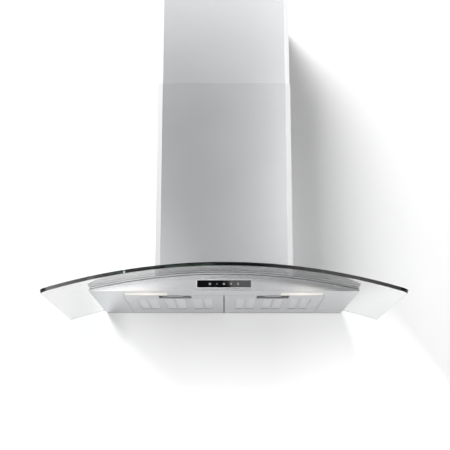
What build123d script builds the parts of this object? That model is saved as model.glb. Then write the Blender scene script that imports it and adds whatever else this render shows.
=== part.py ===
"""Curved glass range hood for a wall, 900 mm class, in millimetres.

X runs to the right as seen from the room, Y into the wall and Z up. The wall is the plane Y = 0, and
the origin lies on it, midway between the two wall-hanging holes. Distances called depths are measured
from the wall towards the room, so a depth d is at Y = -d. Levels are measured square to the bent glass,
from its underside, so a negative level lies below the glass.
"""

import os
from math import asin, cos, degrees, sin, sqrt

from build123d import *

os.makedirs("parts", exist_ok=True)

# ---------------------------------------------------------------- driving sizes

# Hanging
hang_height = 200  # wall-hanging holes above the hood's underside
hanger_spacing = 240
hanger_hole_radius = 4
hanger_plate_width = 280
hanger_plate_height = 36
hanger_plate_thickness = 2.5

# Bent glass
glass_width = 900
glass_depth = 500
glass_thickness = 9
glass_top_radius = 1523  # of the bend, on the upper face
glass_corner_radius = 18
notch_gap = 2  # between the glass's notch and the blower housing
notch_corner_radius = 6

# Canopy body
body_width = 682
body_depth = 409
side_height = 9.6  # from the underside to the glass, at the body's two ends
sheet = 1.0
lip_height = 2.6  # folded front edge of the deck
groove_height = 2.4  # shadow groove between that edge and the front panel
fascia_flange = 12
plate_recess = 0.5  # the underside plate sits this much above the front panel's bottom edge
seam_gap = 0.8
tray_flange = 5.5
safety_hole_spacing = 400
safety_hole_radius = 3
safety_hole_height = 20

# Gasket under the glass
gasket_thickness = 1.2
gasket_width = 10
gasket_setback = 2

# Glass fixings
fixing_side_inset = 93  # from the body's sides
fixing_front_inset = 29
fixing_rear_depth = 60
stud_radius = 3
stud_hole_gap = 0.3
bush_wall = 1.2
bush_flange_radius = 9
cap_radius = 8
cap_height = 3.5
nut_width = 10
nut_height = 5
seat_gap = 0.05  # lets a flat nut or flange seat on the bent deck and glass

# Touch control
control_width = 136
control_height = 18.2
control_centre_height = 18.3
control_glass_thickness = 3
bezel_rim = 2.3
bezel_proud = 0.8
bezel_chamfer = 0.4
bezel_sleeve = 1.0
bezel_fit = 0.1
control_set_back = 0.2
board_margin = 2.5
board_thickness = 1.6
sensor_count = 5
sensor_pitch = 17.7
sensor_radius = 4
sensor_height = 2

# Filters
filter_width = 260
filter_rear_depth = 10
filter_height = 9
filter_sheet = 0.8
filter_gap = 2.5  # between the two filters
filter_side_gap = 0.8
filter_rear_gap = 1.5
filter_front_gap = 2
filter_lip = 5
window_width = 24
window_front_margin = 56  # from the filter's front edge
window_rear_margin = 78
window_pair_pitch = 29
window_group_pitch = 74
window_groups = 3
tongue_width = 30
tongue_spread = 180
tongue_reach = 5.5
tongue_clearance = 0.3

# Pleated mesh
mesh_pleat = 8
mesh_sheet = 1.2
mesh_margin = 1.0
mesh_height = 6.4

# Latches
latch_spread = 256
cup_width = 87
cup_depth = 48
cup_height = 14
cup_wall = 1.0
nose_width = 24
nose_thickness = 2
nose_engagement = 3.5  # beyond the filter's front wall
nose_gap = 0.4
grip_width = 43
grip_depth = 10
grip_setback = 14
grip_clearance = 0.4
latch_travel = 8
leaf_chord = 56
leaf_slack = 4  # bow left in the leaf spring with the latch pushed right back
leaf_thickness = 0.5
leaf_height = 6
leaf_post = 3
keeper_foot = 9
keeper_thickness = 0.8
keeper_gap = 0.4
keeper_notch_depth = 2.5

# Lamps
lamp_side_inset = 86.4  # from the body's sides to the lamps
lamp_width = 108
lamp_depth = 40
lamp_front_inset = 33
lamp_rear_gap = 6  # between the lamps and the filters
lamp_fit = 0.3
lamp_flange = 2
lamp_flange_thickness = 1.5
lamp_housing_height = 11
lamp_housing_wall = 1.2
led_rows = 2
led_columns = 6
led_size = 5
led_height = 0.8
led_pitch_x = 16
led_pitch_y = 18
lamp_board_thickness = 1.6
lamp_board_margin = 3

# Blower housing
housing_width = 300
housing_depth = 262
housing_top = 300  # above the underside
housing_floor_ledge = 19
housing_screw_inset = 10
screw_radius = 2
screw_head_radius = 4
screw_head_height = 2.4
screw_length = 8
screw_gap = 0.15

# Scroll
fan_axis_depth = 90
fan_axis_height = 160
scroll_start_radius = 74
scroll_growth = 8  # added to the radius at each quarter turn
scroll_width = 124
scroll_wall = 2
tongue_radius = 8  # rounded cut-off between the volute and the outlet
inlet_radius = 58
inlet_lip = 5
inlet_rim = 0.5  # left flat round the flared inlet

# Impeller and motor
impeller_radius = 67
blade_count = 24
blade_ring_depth = 11
blade_thickness = 1.0
blade_hook = 1.4
impeller_width = 106
ring_thickness = 2
web_thickness = 1.6
hub_radius = 12
hub_width = 18
shaft_radius = 4
shaft_clearance = 0.05
hub_fit = 0.02
shaft_overhang = 4
shaft_chamfer = 0.6
motor_radius = 36
motor_length = 66
motor_gap = 10  # from the motor to the impeller's web
motor_rib_count = 12
motor_rib_height = 2.5
motor_rib_width = 3
motor_rib_length = 30
spider_plate = 2
spider_hub_radius = 26
spider_arm_width = 14
spider_foot = 8
spider_arms = 3

# Outlet collar and damper
collar_radius = 75
collar_wall = 1.5
collar_height = 50
collar_flange = 13
collar_flange_thickness = 1.5
damper_height = 20  # flap axle above the housing's top
axle_radius = 2
axle_clearance = 0.06
flap_thickness = 1.2
flap_gap = 1.5
knuckle_wall = 1.3
knuckle_length = 18
knuckle_gap = 0.5
knuckle_count = 4  # shared between the two flaps
stop_width = 2.5
stop_height = 2
stop_clearance = 0.3

# Electrical parts on the housing's top
electronics_width = 48
electronics_depth = 180
electronics_height = 34
electronics_wall = 1.5
electronics_side_gap = 5
electronics_rear_depth = 40
lid_thickness = 2
lid_skirt = 3
capacitor_radius = 16
capacitor_height = 52
capacitor_base_radius = 19
capacitor_base_height = 3
capacitor_depth = 60
capacitor_spread = 115
capacitor_chamfer = 1.5
gland_bore_radius = 3.5
gland_thread_radius = 6
gland_thread_length = 8
gland_hex_width = 18
gland_hex_height = 6
gland_dome_height = 9
gland_dome_chamfer = 4
gland_hole_gap = 0.2
gland_inset = 26

# Chimney covers
chimney_width = 368
chimney_depth = 290
chimney_facet = 14  # flat facets down the two front corners
chimney_sheet = 0.8
chimney_flange = 12
lower_cover_top = 602  # above the underside
upper_cover_top = 900
upper_cover_length = 450
cover_gap = 1.05  # between the lower and the upper cover

# Bracket behind the upper cover's top
bracket_height = 30
bracket_drop = 30  # below the upper cover's top
bracket_sheet = 1.5
bracket_half_width = 167
bracket_step_depth = 9.5
bracket_reach = 40
bracket_side_gap = 0.45
bracket_hole_spacing = 220
bracket_hole_radius = 3
cover_screw_radius = 2.2
cover_screw_depth = 28

# ---------------------------------------------------------------- derived sizes

under = -hang_height
half_body = body_width / 2

glass_under_radius = glass_top_radius - glass_thickness
arch_centre = under + side_height - sqrt(glass_under_radius**2 - half_body**2)
body_height = arch_centre + glass_under_radius - under  # in the middle
arch_reach = 2 * (body_height + glass_thickness)  # taller than the body and its glass

deck_top = -gasket_thickness
deck_under = deck_top - sheet
lip_bottom = deck_top - lip_height
fascia_top = lip_bottom - groove_height

control_z = under + control_centre_height
bezel_front_depth = body_depth + bezel_proud
control_front_depth = bezel_front_depth - control_set_back
control_rear_depth = control_front_depth - control_glass_thickness

plate_low = under + plate_recess
plate_top = plate_low + sheet
lamp_front_depth = body_depth - lamp_front_inset
lamp_rear_depth = lamp_front_depth - lamp_depth
lamp_spread = body_width - 2 * lamp_side_inset - lamp_width
filter_front_depth = lamp_rear_depth - lamp_rear_gap
opening_half_width = filter_gap / 2 + filter_width + filter_side_gap
opening_rear_depth = filter_rear_depth - filter_rear_gap
opening_front_depth = filter_front_depth + filter_front_gap
window_front_depth = filter_front_depth - window_front_margin
window_length = window_front_depth - filter_rear_depth - window_rear_margin
filter_face_top = plate_low + filter_sheet
filter_top = plate_low + filter_height

cup_top = filter_face_top + cup_height
cup_front_depth = filter_front_depth - filter_sheet
cup_rear_depth = cup_front_depth - cup_depth
nose_low = filter_top + nose_gap
grip_front_depth = cup_front_depth - grip_setback
grip_rear_depth = grip_front_depth - grip_depth
leaf_rise = latch_travel + leaf_slack
keeper_notch_width = nose_width + 2

housing_half = housing_width / 2
housing_top_z = under + housing_top
fan_z = under + fan_axis_height
outlet_rear_depth = fan_axis_depth
outlet_front_depth = fan_axis_depth + scroll_growth + scroll_start_radius + 2 * scroll_growth
outlet_depth = (outlet_rear_depth + outlet_front_depth) / 2
damper_z = housing_top_z + damper_height

upper_top_z = under + upper_cover_top
upper_inset = chimney_sheet + cover_gap

sides = {"left": -1, "right": 1}


# ---------------------------------------------------------------- shared shapes


def arch_z(x, level):
    """Height of the arc at that level, above the point x on the underside."""
    return arch_centre + sqrt((glass_under_radius + level) ** 2 - x**2)


def under_arch(low_z, level, half_width):
    """Sketch: everything from a flat bottom up to the arc at that level."""
    with Locations((0, low_z)):
        Rectangle(2 * half_width, arch_reach, align=(Align.CENTER, Align.MIN))
    with Locations((0, arch_centre)):
        Circle(glass_under_radius + level, mode=Mode.INTERSECT)


def over_arch(level, high_z, half_width):
    """Sketch: everything from the arc at that level up to a flat top."""
    height = high_z - arch_z(half_width, level) + sheet
    with Locations((0, high_z)):
        Rectangle(2 * half_width, height, align=(Align.CENTER, Align.MAX))
    with Locations((0, arch_centre)):
        Circle(glass_under_radius + level, mode=Mode.SUBTRACT)


def arch_band(low_level, high_level, half_width):
    """Sketch: the band between two arcs, cut upright at both sides."""
    with Locations((0, arch_centre)):
        Circle(glass_under_radius + high_level)
        Circle(glass_under_radius + low_level, mode=Mode.SUBTRACT)
    with Locations((0, arch_z(0, high_level) + sheet)):
        Rectangle(2 * half_width, arch_reach, align=(Align.CENTER, Align.MAX), mode=Mode.INTERSECT)


def depth_rectangle(width, rear_depth, front_depth, x=0, mode=Mode.ADD):
    """Sketch in plan: a rectangle between two depths, centred on x."""
    with Locations((x, -rear_depth)):
        Rectangle(width, front_depth - rear_depth, align=(Align.CENTER, Align.MAX), mode=mode)


def at_depth(depth):
    """Upright plane facing the room. Extrusions from it grow towards the room."""
    return Plane.XZ.offset(depth)


def at_height(z):
    """Level plane. Extrusions from it grow upwards."""
    return Plane.XY.offset(z)


def control_rectangle(margin, mode=Mode.ADD):
    """Sketch on an upright plane: the touch strip's outline, grown by a margin."""
    with Locations((0, control_z)):
        Rectangle(control_width + 2 * margin, control_height + 2 * margin, mode=mode)


def chimney_outline(inset):
    """Sketch in plan: the chimney with its two front facets, drawn in by an inset all round."""
    with BuildSketch() as outline:
        depth_rectangle(chimney_width, 0, chimney_depth)
        chamfer(outline.vertices().group_by(Axis.Y)[0], chimney_facet)
        if inset > 0:
            offset(amount=-inset, kind=Kind.INTERSECTION)
    return outline.sketch


def glass_fixing_planes():
    """Planes on the glass's underside, square to it, at the four fixings."""
    planes = []
    for side in sides.values():
        for depth in (body_depth - fixing_front_inset, fixing_rear_depth):
            x = side * (half_body - fixing_side_inset)
            tilt = asin(x / glass_under_radius)
            origin = (x, -depth, arch_z(x, 0))
            planes.append(Plane(origin, x_dir=(cos(tilt), 0, -sin(tilt)), z_dir=(sin(tilt), 0, cos(tilt))))
    return planes


def housing_screw_points():
    """Plan positions of the four screws through the housing's floor."""
    x = housing_half - housing_screw_inset
    depths = (housing_screw_inset, housing_depth - housing_screw_inset)
    return [(side * x, -depth) for side in sides.values() for depth in depths]


def save(name, builder):
    """Label a finished piece and write it."""
    builder.part.label = name
    export_step(builder.part, f"parts/{name}.step")


fixing_planes = glass_fixing_planes()

# ---------------------------------------------------------------- canopy body

# Deck under the glass, sides, back and the folded front lip, open below and in front
with BuildPart() as canopy_shell:
    with BuildSketch(at_depth(0)):
        under_arch(under, deck_top, half_body)
    extrude(amount=body_depth)
    with BuildSketch(at_depth(sheet)):
        under_arch(under, deck_under, half_body - sheet)
    extrude(amount=body_depth - 2 * sheet, mode=Mode.SUBTRACT)
    with BuildSketch(at_depth(body_depth - sheet)):
        under_arch(under, lip_bottom, half_body)
    extrude(amount=sheet, mode=Mode.SUBTRACT)
    # air passage under the blower housing, and holes for its screws
    with BuildSketch(at_height(under + body_height / 2)):
        depth_rectangle(
            housing_width - 2 * (sheet + housing_floor_ledge),
            sheet + housing_floor_ledge,
            housing_depth - sheet - housing_floor_ledge,
        )
        with Locations(*housing_screw_points()):
            Circle(screw_radius + screw_gap)
    extrude(amount=body_height, mode=Mode.SUBTRACT)
    for plane in fixing_planes:
        with BuildSketch(plane.offset(deck_under - sheet)):
            Circle(stud_radius + stud_hole_gap)
        extrude(amount=3 * sheet, mode=Mode.SUBTRACT)
    # holes for safety screws, driven into the wall from below
    with BuildSketch(at_depth(0)):
        with Locations((0, under + safety_hole_height)):
            with GridLocations(safety_hole_spacing, 0, 2, 1):
                Circle(safety_hole_radius)
    extrude(amount=sheet, mode=Mode.SUBTRACT)
save("canopy_shell", canopy_shell)

# Front panel: its top edge follows the arch and is bent back, then up to the deck
with BuildPart() as front_fascia:
    with BuildSketch(at_depth(body_depth - sheet)):
        under_arch(under, fascia_top, half_body)
        control_rectangle(bezel_sleeve + 2 * bezel_fit, Mode.SUBTRACT)
    extrude(amount=sheet)
    with BuildSketch(at_depth(body_depth - sheet - fascia_flange)):
        arch_band(fascia_top - sheet, fascia_top, half_body - sheet)
    extrude(amount=fascia_flange)
    with BuildSketch(at_depth(body_depth - sheet - fascia_flange)):
        arch_band(fascia_top, deck_under, half_body - sheet)
    extrude(amount=sheet)
    with BuildSketch(at_height(plate_top)):
        depth_rectangle(body_width - 2 * sheet, body_depth - sheet - fascia_flange, body_depth - sheet)
    extrude(amount=sheet)
save("front_fascia", front_fascia)

# Underside plate with the filter opening, the lamp openings and the latch notches
with BuildPart() as base_plate:
    with BuildSketch(at_height(plate_low)):
        depth_rectangle(body_width - 2 * sheet, sheet, body_depth - sheet - seam_gap)
    extrude(amount=sheet)
    with BuildSketch(at_height(plate_low)):
        depth_rectangle(2 * opening_half_width, opening_rear_depth, opening_front_depth)
        for side in sides.values():
            depth_rectangle(
                keeper_notch_width,
                opening_front_depth - sheet,
                opening_front_depth + keeper_notch_depth,
                x=side * latch_spread / 2,
            )
            depth_rectangle(
                lamp_width + 2 * lamp_fit,
                lamp_rear_depth - lamp_fit,
                lamp_front_depth + lamp_fit,
                x=side * lamp_spread / 2,
            )
    extrude(amount=sheet, mode=Mode.SUBTRACT)
    # upturned edges at the sides and the back
    with BuildSketch(at_height(plate_low)):
        depth_rectangle(body_width - 2 * sheet, sheet, body_depth - sheet - 2 * fascia_flange)
        with Locations((0, -2 * sheet)):
            Rectangle(
                body_width - 4 * sheet, body_depth, align=(Align.CENTER, Align.MAX), mode=Mode.SUBTRACT
            )
    extrude(amount=tray_flange)
save("base_plate", base_plate)

# ---------------------------------------------------------------- glass

glass_angle = 2 * degrees(asin(glass_width / 2 / glass_top_radius))
glass_start = 90 - glass_angle / 2
with BuildPart() as glass_canopy:
    with BuildSketch(at_depth(0)):
        with BuildLine():
            upper = CenterArc((0, arch_centre), glass_top_radius, glass_start, glass_angle)
            lower = CenterArc((0, arch_centre), glass_under_radius, glass_start, glass_angle)
            Line(upper @ 0, lower @ 0)
            Line(upper @ 1, lower @ 1)
        make_face()
    extrude(amount=glass_depth)
    front_edges = glass_canopy.edges().group_by(Axis.Y)[0]
    fillet(front_edges.sort_by(SortBy.LENGTH)[:2], glass_corner_radius)
    # notch at the back, round the blower housing
    with BuildSketch(at_height(under + body_height / 2)) as notch:
        depth_rectangle(housing_width + 2 * notch_gap, 0, housing_depth + notch_gap)
        fillet(notch.vertices().group_by(Axis.Y)[0], notch_corner_radius)
    extrude(amount=body_height, mode=Mode.SUBTRACT)
    for plane in fixing_planes:
        with BuildSketch(plane.offset(-glass_thickness / 2)):
            Circle(stud_radius + stud_hole_gap + bush_wall)
        extrude(amount=2 * glass_thickness, mode=Mode.SUBTRACT)
save("glass_canopy", glass_canopy)

# Gasket strip round the deck, left open where the blower housing stands
with BuildPart() as glass_gasket:
    with BuildSketch(at_depth(gasket_setback)):
        arch_band(deck_top, 0, half_body - gasket_setback)
    extrude(amount=body_depth - 2 * gasket_setback)
    with BuildSketch(at_height(under)):
        depth_rectangle(
            body_width - 2 * (gasket_setback + gasket_width),
            gasket_setback + gasket_width,
            body_depth - gasket_setback - gasket_width,
        )
        depth_rectangle(housing_width + 2 * notch_gap, 0, housing_depth)
    extrude(amount=arch_reach, mode=Mode.SUBTRACT)
save("glass_gasket", glass_gasket)

# Fixings: a stud with its nut under the deck, a nylon bush in the glass and a domed cap on top
with BuildPart() as glass_fixing_studs:
    for plane in fixing_planes:
        with BuildSketch(plane.offset(deck_under - seat_gap - nut_height)):
            Circle(stud_radius)
        extrude(amount=nut_height + seat_gap - deck_under + glass_thickness)
        with BuildSketch(plane.offset(deck_under - seat_gap - nut_height)):
            RegularPolygon(nut_width / 2, 6, major_radius=False)
        extrude(amount=nut_height)
save("glass_fixing_studs", glass_fixing_studs)

with BuildPart() as glass_fixing_bushes:
    for plane in fixing_planes:
        with BuildSketch(plane.offset(deck_top)):
            Circle(bush_flange_radius)
            Circle(stud_radius, mode=Mode.SUBTRACT)
        extrude(amount=gasket_thickness - seat_gap)
        with BuildSketch(plane.offset(-seat_gap)):
            Circle(stud_radius + bush_wall)
            Circle(stud_radius, mode=Mode.SUBTRACT)
        extrude(amount=glass_thickness + seat_gap)
save("glass_fixing_bushes", glass_fixing_bushes)

with BuildPart() as glass_fixing_caps:
    for plane in fixing_planes:
        with BuildSketch(plane.offset(glass_thickness)):
            Circle(cap_radius)
        extrude(amount=cap_height)
    rims = glass_fixing_caps.edges().filter_by(GeomType.CIRCLE)
    cap_middle = glass_thickness + cap_height / 2
    chamfer([rim for rim in rims if rim.center().Z > arch_z(rim.center().X, cap_middle)], cap_height / 2)
save("glass_fixing_caps", glass_fixing_caps)

# ---------------------------------------------------------------- touch control



# Bright frame: a sleeve through the front panel, with a rim outside it
with BuildPart() as control_bezel:
    with BuildSketch(at_depth(control_rear_depth)):
        control_rectangle(bezel_sleeve + bezel_fit)
        control_rectangle(bezel_fit, Mode.SUBTRACT)
    extrude(amount=bezel_front_depth - control_rear_depth)
    with BuildSketch(at_depth(body_depth)):
        control_rectangle(bezel_rim)
        control_rectangle(bezel_fit, Mode.SUBTRACT)
    extrude(amount=bezel_proud)
    chamfer(control_bezel.faces().sort_by(Axis.Y)[0].outer_wire().edges(), bezel_chamfer)
save("control_bezel", control_bezel)

with BuildPart() as control_glass:
    with BuildSketch(at_depth(control_rear_depth)):
        control_rectangle(0)
    extrude(amount=control_glass_thickness)
save("control_glass", control_glass)

# Touch board behind the glass, with a sensor spring for each key on its back
with BuildPart() as control_board:
    with BuildSketch(at_depth(control_rear_depth - board_thickness)):
        control_rectangle(-board_margin)
    extrude(amount=board_thickness)
    with BuildSketch(at_depth(control_rear_depth - board_thickness - sensor_height)):
        with Locations((0, control_z)):
            with GridLocations(sensor_pitch, 0, sensor_count, 1):
                Circle(sensor_radius)
    extrude(amount=sensor_height)
save("control_board", control_board)

# ---------------------------------------------------------------- lamps


def make_lamp(side_name):
    """A frosted lens in the underside plate, with its tray and its board of light-emitting diodes."""
    x = sides[side_name] * lamp_spread / 2
    flange_top = plate_top + lamp_flange_thickness
    board_low = flange_top + lamp_housing_height - lamp_housing_wall - lamp_board_thickness

    with BuildPart() as lens:
        with BuildSketch(at_height(plate_low)):
            depth_rectangle(lamp_width, lamp_rear_depth, lamp_front_depth, x)
        extrude(amount=sheet)
        with BuildSketch(at_height(plate_top)):
            depth_rectangle(
                lamp_width + 2 * lamp_flange,
                lamp_rear_depth - lamp_flange,
                lamp_front_depth + lamp_flange,
                x,
            )
        extrude(amount=lamp_flange_thickness)
    save(f"lamp_lens_{side_name}", lens)

    with BuildPart() as tray:
        with BuildSketch(at_height(flange_top)):
            depth_rectangle(
                lamp_width + 2 * lamp_flange,
                lamp_rear_depth - lamp_flange,
                lamp_front_depth + lamp_flange,
                x,
            )
        extrude(amount=lamp_housing_height)
        fillet(tray.edges().filter_by(Axis.Z), lamp_flange)
        offset(amount=-lamp_housing_wall, openings=tray.faces().sort_by(Axis.Z)[0])
    save(f"lamp_housing_{side_name}", tray)

    with BuildPart() as board:
        with BuildSketch(at_height(board_low)):
            depth_rectangle(
                lamp_width - 2 * lamp_board_margin,
                lamp_rear_depth + lamp_board_margin,
                lamp_front_depth - lamp_board_margin,
                x,
            )
        extrude(amount=lamp_board_thickness)
        with BuildSketch(at_height(board_low - led_height)):
            with Locations((x, -(lamp_rear_depth + lamp_front_depth) / 2)):
                with GridLocations(led_pitch_x, led_pitch_y, led_columns, led_rows):
                    Rectangle(led_size, led_size)
        extrude(amount=led_height)
    save(f"lamp_board_{side_name}", board)


for side_name in sides:
    make_lamp(side_name)

# ---------------------------------------------------------------- grease filters


def make_filter(side_name):
    """A filter pan with windows, its pleated mesh and its latch cup."""
    side = sides[side_name]
    x = side * (filter_gap + filter_width) / 2
    latch_x = side * latch_spread / 2

    with BuildPart() as frame:
        with BuildSketch(at_height(plate_low)):
            depth_rectangle(filter_width, filter_rear_depth, filter_front_depth, x)
        extrude(amount=filter_height)
        with BuildSketch(at_height(filter_face_top)):
            depth_rectangle(
                filter_width - 2 * filter_sheet,
                filter_rear_depth + filter_sheet,
                filter_front_depth - filter_sheet,
                x,
            )
        extrude(amount=filter_height - 2 * filter_sheet, mode=Mode.SUBTRACT)
        with BuildSketch(at_height(filter_top - filter_sheet)):
            depth_rectangle(
                filter_width - 2 * filter_lip,
                filter_rear_depth + filter_lip,
                filter_front_depth - filter_lip,
                x,
            )
            depth_rectangle(cup_width, cup_rear_depth, cup_front_depth, latch_x)
        extrude(amount=filter_sheet, mode=Mode.SUBTRACT)
        # windows in pairs, and the mouth of the latch cup
        with BuildSketch(at_height(plate_low)):
            with Locations((x, -window_front_depth + window_length / 2)):
                with GridLocations(window_group_pitch, 0, window_groups, 1):
                    with GridLocations(window_pair_pitch, 0, 2, 1):
                        Rectangle(window_width, window_length)
            depth_rectangle(
                cup_width - 2 * cup_wall, cup_rear_depth + cup_wall, cup_front_depth - cup_wall, latch_x
            )
        extrude(amount=filter_sheet, mode=Mode.SUBTRACT)
        # tongues that hang on the back edge of the opening
        with BuildSketch(at_height(plate_top + tongue_clearance)):
            for tongue_side in sides.values():
                depth_rectangle(
                    tongue_width,
                    opening_rear_depth - tongue_reach,
                    filter_rear_depth + filter_sheet,
                    x + tongue_side * tongue_spread / 2,
                )
        extrude(amount=filter_sheet)
    save(f"filter_frame_{side_name}", frame)

    # Mesh folded into pleats that run from front to back, seen through the windows
    pleats = int((filter_width - 2 * (filter_sheet + mesh_margin)) // mesh_pleat)
    start_x = x - pleats * mesh_pleat / 2
    low_z = filter_face_top
    fold_height = mesh_height - mesh_sheet
    zigzag = [
        (start_x + step * mesh_pleat / 2, low_z + (fold_height if step % 2 else 0))
        for step in range(2 * pleats + 1)
    ]
    with BuildPart() as mesh:
        with BuildSketch(at_depth(filter_rear_depth + filter_sheet + mesh_margin)):
            with BuildLine():
                Polyline(zigzag)
                Polyline([(px, pz + mesh_sheet) for px, pz in zigzag])
                Line(zigzag[0], (zigzag[0][0], zigzag[0][1] + mesh_sheet))
                Line(zigzag[-1], (zigzag[-1][0], zigzag[-1][1] + mesh_sheet))
            make_face()
        extrude(amount=cup_rear_depth - filter_rear_depth - filter_sheet - 2 * mesh_margin)
    save(f"filter_mesh_{side_name}", mesh)

    with BuildPart() as cup:
        with BuildSketch(at_height(filter_face_top)):
            depth_rectangle(cup_width, cup_rear_depth, cup_front_depth, latch_x)
        extrude(amount=cup_height)
        with BuildSketch(at_height(filter_face_top)):
            depth_rectangle(
                cup_width - 2 * cup_wall, cup_rear_depth + cup_wall, cup_front_depth - cup_wall, latch_x
            )
        extrude(amount=cup_height - cup_wall, mode=Mode.SUBTRACT)
        # slot for the latch's nose
        with BuildSketch(at_depth(cup_front_depth - cup_wall)):
            with Locations((latch_x, nose_low + nose_thickness / 2)):
                Rectangle(nose_width + 2 * nose_gap, nose_thickness + 2 * nose_gap)
        extrude(amount=cup_wall, mode=Mode.SUBTRACT)
        # posts that the leaf spring's ends stand against
        with BuildSketch(at_height(filter_face_top + cup_wall)):
            for post_side in sides.values():
                depth_rectangle(
                    leaf_post,
                    grip_rear_depth - leaf_rise - leaf_post,
                    grip_rear_depth - leaf_rise,
                    latch_x + post_side * (leaf_chord - leaf_post) / 2,
                )
        extrude(amount=cup_height - 2 * cup_wall)
    save(f"latch_cup_{side_name}", cup)


def make_latch(side_name):
    """A sliding latch, its bowed leaf spring and the spring clip that it hooks over."""
    latch_x = sides[side_name] * latch_spread / 2

    with BuildPart() as latch:
        with BuildSketch(at_height(nose_low)):
            depth_rectangle(nose_width, grip_rear_depth, filter_front_depth + nose_engagement, latch_x)
        extrude(amount=nose_thickness)
        with BuildSketch(at_height(plate_low + grip_clearance)):
            depth_rectangle(grip_width, grip_rear_depth, grip_front_depth, latch_x)
        extrude(amount=cup_top - cup_wall - plate_low - 2 * grip_clearance)
        chamfer(latch.edges().filter_by(Axis.X).group_by(Axis.Y)[0].sort_by(Axis.Z)[-1], nose_thickness / 2)
    save(f"latch_{side_name}", latch)

    spring_z = (plate_low + cup_top) / 2 - leaf_height / 2
    tip = (latch_x, -grip_rear_depth)
    ends = [(latch_x + side * leaf_chord / 2, -(grip_rear_depth - leaf_rise)) for side in sides.values()]
    with BuildPart() as spring:
        with BuildSketch(at_height(spring_z)):
            with BuildLine():
                ThreePointArc(ends[0], tip, ends[1])
                ThreePointArc(
                    (ends[0][0] + leaf_thickness, ends[0][1]),
                    (tip[0], tip[1] + leaf_thickness),
                    (ends[1][0] - leaf_thickness, ends[1][1]),
                )
                Line(ends[0], (ends[0][0] + leaf_thickness, ends[0][1]))
                Line(ends[1], (ends[1][0] - leaf_thickness, ends[1][1]))
            make_face()
        extrude(amount=leaf_height)
    save(f"latch_spring_{side_name}", spring)

    # foot on the underside plate, a riser behind its notch, and the lip under the latch's nose
    riser_y = -(opening_front_depth + keeper_notch_depth + keeper_thickness)
    lip_z = nose_low - nose_gap - keeper_thickness
    with BuildPart() as keeper:
        with BuildSketch(Plane.YZ.offset(latch_x - nose_width / 2)):
            with BuildLine():
                Polyline(
                    (riser_y - keeper_foot, plate_top),
                    (riser_y, plate_top),
                    (riser_y, lip_z),
                    (-(filter_front_depth + keeper_gap), lip_z),
                )
                offset(amount=keeper_thickness, side=Side.LEFT, kind=Kind.INTERSECTION, mode=Mode.ADD)
            make_face()
        extrude(amount=nose_width)
    save(f"filter_keeper_{side_name}", keeper)


for side_name in sides:
    make_filter(side_name)
    make_latch(side_name)

# ---------------------------------------------------------------- blower housing

floor_top = deck_top + sheet
with BuildPart() as blower_housing:
    with BuildSketch(at_depth(0)):
        over_arch(deck_top, housing_top_z, housing_half)
    extrude(amount=housing_depth)
    with BuildSketch(at_depth(sheet)):
        over_arch(floor_top, housing_top_z - sheet, housing_half - sheet)
    extrude(amount=housing_depth - 2 * sheet, mode=Mode.SUBTRACT)
    # air passage and screw holes in the floor
    with BuildSketch(at_height(under + body_height / 2)):
        depth_rectangle(
            housing_width - 2 * (sheet + housing_floor_ledge),
            sheet + housing_floor_ledge,
            housing_depth - sheet - housing_floor_ledge,
        )
        with Locations(*housing_screw_points()):
            Circle(screw_radius + screw_gap)
    extrude(amount=body_height, mode=Mode.SUBTRACT)
    with BuildSketch(at_height(housing_top_z - sheet)):
        with Locations((0, -outlet_depth)):
            Circle(collar_radius - collar_wall)
    extrude(amount=sheet, mode=Mode.SUBTRACT)
    with BuildSketch(at_depth(0)):
        with GridLocations(hanger_spacing, 0, 2, 1):
            Circle(hanger_hole_radius)
    extrude(amount=sheet, mode=Mode.SUBTRACT)
save("blower_housing", blower_housing)

with BuildPart() as hanger_plate:
    with BuildSketch(at_depth(sheet)):
        Rectangle(hanger_plate_width, hanger_plate_height)
        with GridLocations(hanger_spacing, 0, 2, 1):
            Circle(hanger_hole_radius, mode=Mode.SUBTRACT)
    extrude(amount=hanger_plate_thickness)
save("hanger_plate", hanger_plate)

with BuildPart() as housing_screws:
    for x, y in housing_screw_points():
        seat_z = arch_z(abs(x) - screw_head_radius, floor_top)
        with BuildSketch(at_height(seat_z - screw_length)):
            with Locations((x, y)):
                Circle(screw_radius)
        extrude(amount=screw_length)
        with BuildSketch(at_height(seat_z)):
            with Locations((x, y)):
                Circle(screw_head_radius)
        extrude(amount=screw_head_height)
save("housing_screws", housing_screws)

# ---------------------------------------------------------------- scroll

fan_plane = Plane(origin=(0, -fan_axis_depth, fan_z), x_dir=(0, 1, 0), z_dir=(1, 0, 0))


def scroll_profile(wall):
    """Sketch across the fan's axis: a volute of three arcs and its upright outlet, grown by a wall."""
    outlet_top = housing_top_z - sheet - fan_z
    radius = scroll_start_radius + wall
    cutoff_height = sqrt(radius**2 - wall**2)
    with BuildSketch() as outline:
        with BuildLine():
            start_angle = degrees(asin(cutoff_height / radius))
            back = CenterArc((0, 0), radius, start_angle, -start_angle)
            CenterArc((-scroll_growth, 0), radius + scroll_growth, 0, -90)
            front = CenterArc((-scroll_growth, scroll_growth), radius + 2 * scroll_growth, -90, -90)
            rise = Line(front @ 1, ((front @ 1).X, outlet_top))
            across = Line(rise @ 1, (wall, outlet_top))
            Line(across @ 1, back @ 0)
        make_face()
        cutoff = outline.vertices().sort_by_distance((wall, cutoff_height, 0))[0]
        fillet(cutoff, tongue_radius - wall)
    return outline.sketch


outer_volute = scroll_profile(scroll_wall)
inner_volute = scroll_profile(0)


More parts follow.
